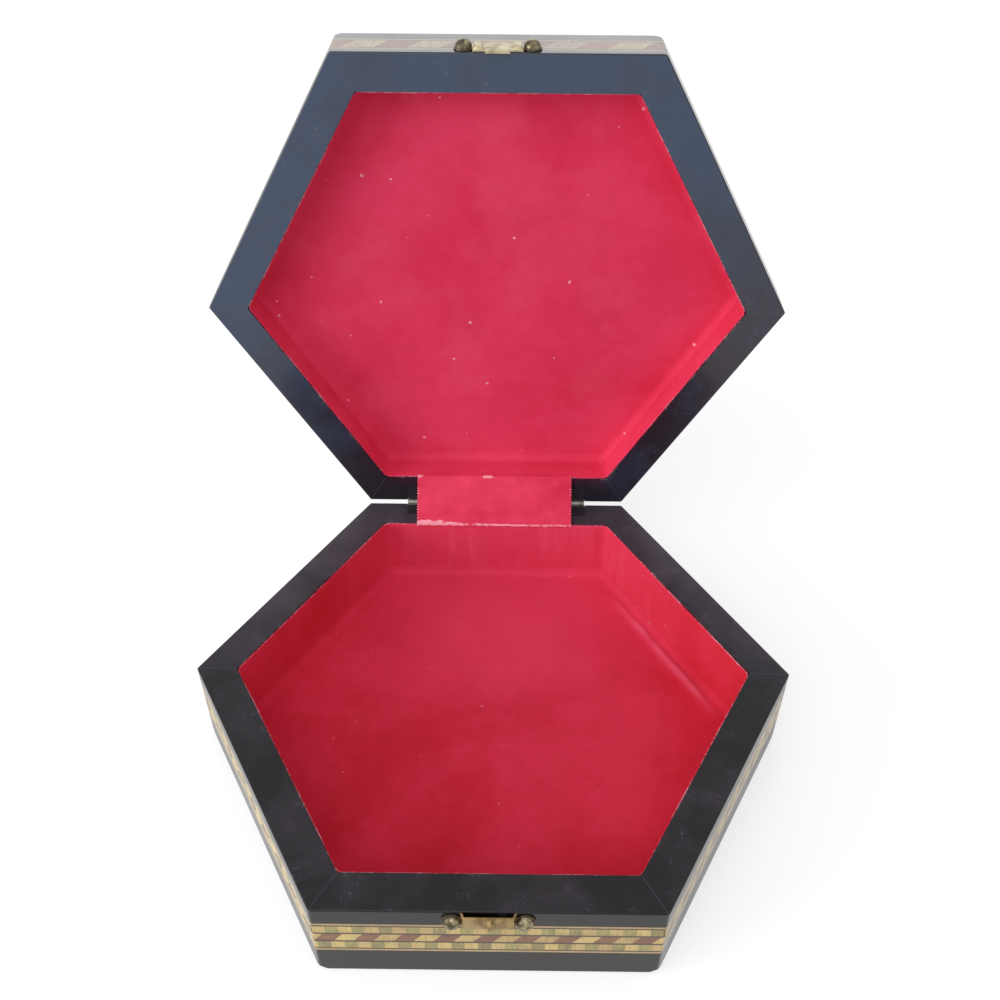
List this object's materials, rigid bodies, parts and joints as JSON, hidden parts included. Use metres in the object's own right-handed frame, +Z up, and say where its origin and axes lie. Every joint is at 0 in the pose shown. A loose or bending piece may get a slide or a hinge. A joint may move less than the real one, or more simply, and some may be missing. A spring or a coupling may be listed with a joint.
{
  "type": "trinket box",
  "caption": "Hexagonal black-lacquered wooden trinket box with inlaid marquetry bands, red cloth lining, a hinged lid that stands upright, and a brass clasp.",
  "frame": {"origin": "centre of the flat underside of the base", "axes": "+Z up from the underside, +X to the right along the hinge, +Y to the back, so the clasp is at -Y"},
  "size_m": [0.1796, 0.1766, 0.1902],
  "materials": {
    "lacquered_wood": "gloss black lacquer",
    "stringing_wood": "lacquered pale stringing",
    "dark_wood": "lacquered dark lines",
    "yellow_wood": "lacquered yellow veneer",
    "olive_wood": "lacquered olive veneer",
    "brown_wood": "lacquered brown veneer",
    "lining_cloth": "red brushed cloth",
    "strip_cloth": "red smooth cloth",
    "hinge_steel": "dull plated steel",
    "clasp_brass": "dull stamped brass",
    "tack_brass": "oxidised dome heads"
  },
  "bodies": {
    "base": {"base_wall_front": "lacquered_wood", "base_wall_front_right": "lacquered_wood", "base_wall_back_right": "lacquered_wood", "base_wall_back": "lacquered_wood", "base_wall_back_left": "lacquered_wood", "base_wall_front_left": "lacquered_wood", "base_bottom_panel": "lacquered_wood", "base_band_light_stringing": "stringing_wood", "base_band_dark_lines": "dark_wood", "base_band_light_blocks": "yellow_wood", "base_band_olive_blocks": "olive_wood", "base_band_light_rope": "yellow_wood", "base_band_brown_rope": "brown_wood", "base_panel_lining": "lining_cloth", "base_wall_lining": "lining_cloth", "hinge_base_leaf": "hinge_steel", "hinge_base_nails": "hinge_steel", "hinge_pin": "hinge_steel", "clasp_keeper_plate": "clasp_brass", "clasp_keeper_tacks": "tack_brass", "hinge_cover_cloth": "strip_cloth"},
    "lid": {"lid_wall_front": "lacquered_wood", "lid_wall_front_right": "lacquered_wood", "lid_wall_back_right": "lacquered_wood", "lid_wall_back": "lacquered_wood", "lid_wall_back_left": "lacquered_wood", "lid_wall_front_left": "lacquered_wood", "lid_top_panel": "lacquered_wood", "lid_band_light_stringing": "stringing_wood", "lid_band_dark_lines": "dark_wood", "lid_band_light_rope": "yellow_wood", "lid_band_brown_rope": "brown_wood", "lid_top_light_stringing": "stringing_wood", "lid_top_dark_lines": "dark_wood", "lid_top_light_rope": "yellow_wood", "lid_top_brown_rope": "brown_wood", "lid_top_light_star": "yellow_wood", "lid_top_brown_star": "brown_wood", "lid_top_olive_field": "olive_wood", "lid_panel_lining": "lining_cloth", "lid_wall_lining": "lining_cloth", "hinge_lid_leaf": "hinge_steel", "hinge_lid_nails": "hinge_steel", "clasp_lid_plate": "clasp_brass", "clasp_lid_tacks": "tack_brass"}
  },
  "joints": [
    {"name": "lid_hinge", "type": "hinge", "parent": "base", "child": "lid", "pos_m": [0, 0.07834, 0.0313], "axis": [1, 0, 0], "range_deg": [0, 90], "deforming": ["hinge_cover_cloth"]}
  ]
}
